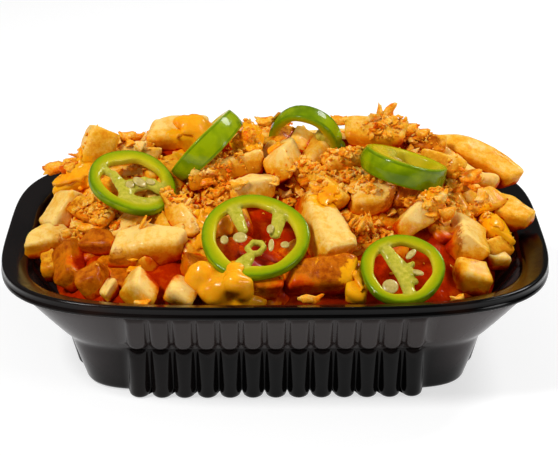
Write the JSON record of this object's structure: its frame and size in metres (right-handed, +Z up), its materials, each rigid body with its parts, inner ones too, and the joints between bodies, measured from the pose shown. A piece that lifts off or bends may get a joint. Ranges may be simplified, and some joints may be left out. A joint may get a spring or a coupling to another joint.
{
  "type": "dish of spicy fries",
  "caption": "Oblong ribbed black plastic tray heaped with thick-cut fries under cheese sauce, crisp crumbs and green pepper rings.",
  "frame": {"origin": "middle of the tray's footprint, on the surface it stands on", "axes": "+X along the tray's long side, +Y from the front long side to the back one, +Z up"},
  "size_m": [0.19, 0.146, 0.083],
  "materials": {
    "tray_plastic": "glossy black",
    "fried_potato": "pale golden fried crust with sauce",
    "green_pepper": "moist green skin and flesh"
  },
  "bodies": {
    "root": {"tray": "tray_plastic", "fries": "fried_potato", "pepper_ring_left": "green_pepper", "pepper_ring_edge": "green_pepper", "pepper_ring_back": "green_pepper", "pepper_ring_centre": "green_pepper", "pepper_ring_right": "green_pepper", "pepper_ring_front": "green_pepper"}
  },
  "joints": []
}
